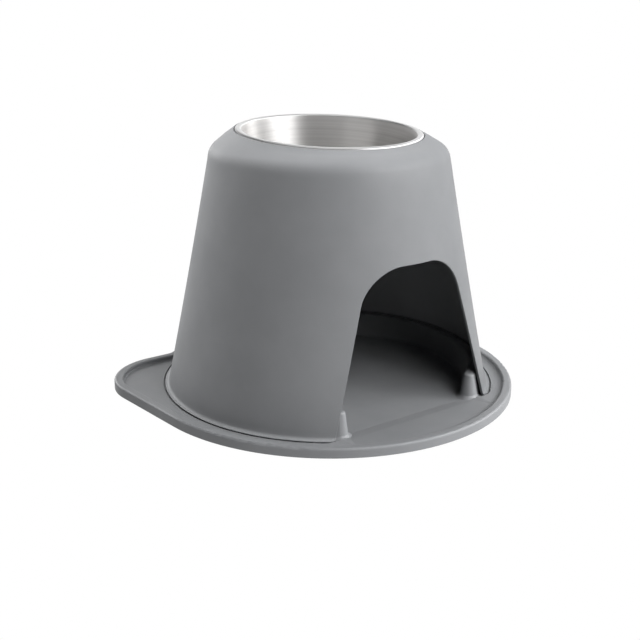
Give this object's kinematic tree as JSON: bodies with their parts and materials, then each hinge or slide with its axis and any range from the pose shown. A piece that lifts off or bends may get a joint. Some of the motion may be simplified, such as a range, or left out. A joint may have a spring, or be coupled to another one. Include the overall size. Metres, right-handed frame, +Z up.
{
  "type": "elevated pet feeder",
  "caption": "Raised pet feeder: a bowl dropped into the tilted top of a flared stand with an arched opening, located on a lipped floor mat",
  "frame": {"origin": "on the stand's axis, in the plane of the floor that the mat stands on", "axes": "+Z up along the stand's axis, -Y out through the arch towards the round front of the mat, +X to the right when the arch is seen from in front"},
  "size_m": [0.3784, 0.3579, 0.2568],
  "materials": {
    "mat_plastic": "fine satin",
    "stand_plastic": "fine satin",
    "bowl_steel": "spun inside, polished rim"
  },
  "bodies": {
    "root": {"mat": "mat_plastic", "stand": "stand_plastic", "bowl": "bowl_steel"}
  },
  "joints": []
}
